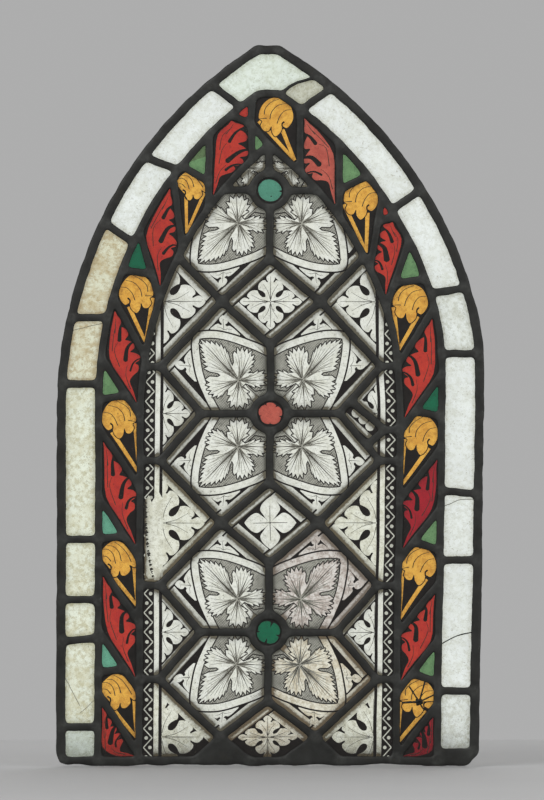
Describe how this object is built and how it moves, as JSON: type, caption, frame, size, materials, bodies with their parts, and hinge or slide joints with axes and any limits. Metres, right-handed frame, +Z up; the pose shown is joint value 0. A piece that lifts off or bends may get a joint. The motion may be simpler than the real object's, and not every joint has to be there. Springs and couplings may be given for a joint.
{
  "type": "stained glass window",
  "caption": "Leaded stained-glass light with a pointed arch: vine-leaf grisaille round coloured bosses, a red and gold leaf border and a plain white edge.",
  "frame": {"origin": "middle of the flat sill edge, half way through the thickness", "axes": "+Z up along the light, +X to the right seen from the painted face, +Y out of the back; the painted face looks towards -Y"},
  "size_m": [0.476, 0.0082, 0.8],
  "materials": {
    "lead": "dull dark grey lead, weathered, with solder at the joints",
    "white_glass": "old white glass, slightly greenish, pitted and stained",
    "gold_glass": "painted yellow glass; the green triangle beside each leaf is part of the node",
    "red_glass": "painted red glass",
    "green_glass": "painted green and blue-green glass",
    "grisaille_glass": "white glass painted with dark lines, hatching and black grounds"
  },
  "bodies": {
    "root": {"lead_cames": "lead", "white_border_apex": "white_glass", "white_border_left_lower": "white_glass", "white_border_left_middle": "white_glass", "white_border_left_upper": "white_glass", "white_border_right_lower": "white_glass", "white_border_right_upper": "white_glass", "red_leaf_left_1": "red_glass", "red_leaf_left_2": "red_glass", "red_leaf_left_3": "red_glass", "red_leaf_left_4": "red_glass", "red_leaf_left_5": "red_glass", "red_leaf_left_6": "red_glass", "red_leaf_right_1": "red_glass", "red_leaf_right_2": "red_glass", "red_leaf_right_3": "red_glass", "red_leaf_right_4": "red_glass", "red_leaf_right_5": "red_glass", "red_leaf_right_6": "red_glass", "gold_leaf_top": "gold_glass", "gold_leaf_left_1": "gold_glass", "gold_leaf_left_2": "gold_glass", "gold_leaf_left_3": "gold_glass", "gold_leaf_left_4": "gold_glass", "gold_leaf_left_5": "gold_glass", "gold_leaf_right_1": "gold_glass", "gold_leaf_right_2": "gold_glass", "gold_leaf_right_3": "gold_glass", "gold_leaf_right_4": "gold_glass", "gold_leaf_right_5": "gold_glass", "vine_leaf_bottom_upper_left": "grisaille_glass", "vine_leaf_bottom_upper_right": "grisaille_glass", "vine_leaf_bottom_lower_left": "grisaille_glass", "vine_leaf_bottom_lower_right": "grisaille_glass", "vine_leaf_middle_upper_left": "grisaille_glass", "vine_leaf_middle_upper_right": "grisaille_glass", "vine_leaf_middle_lower_left": "grisaille_glass", "vine_leaf_middle_lower_right": "grisaille_glass", "vine_leaf_top_upper_left": "grisaille_glass", "vine_leaf_top_upper_right": "grisaille_glass", "vine_leaf_top_lower_left": "grisaille_glass", "vine_leaf_top_lower_right": "grisaille_glass", "boss_bottom": "green_glass", "boss_middle": "red_glass", "boss_top": "green_glass", "diamond_lower": "grisaille_glass", "diamond_middle": "grisaille_glass", "diamond_upper": "grisaille_glass", "side_pane_left_1": "grisaille_glass", "side_pane_left_2": "grisaille_glass", "side_pane_left_3": "grisaille_glass", "side_pane_left_4": "grisaille_glass", "side_pane_left_5": "grisaille_glass", "side_pane_right_1": "grisaille_glass", "side_pane_right_2_upper": "grisaille_glass", "side_pane_right_2_insert": "grisaille_glass", "side_pane_right_2_lower": "grisaille_glass", "side_pane_right_3": "grisaille_glass", "side_pane_right_4": "grisaille_glass", "side_pane_right_5": "grisaille_glass"}
  },
  "joints": []
}
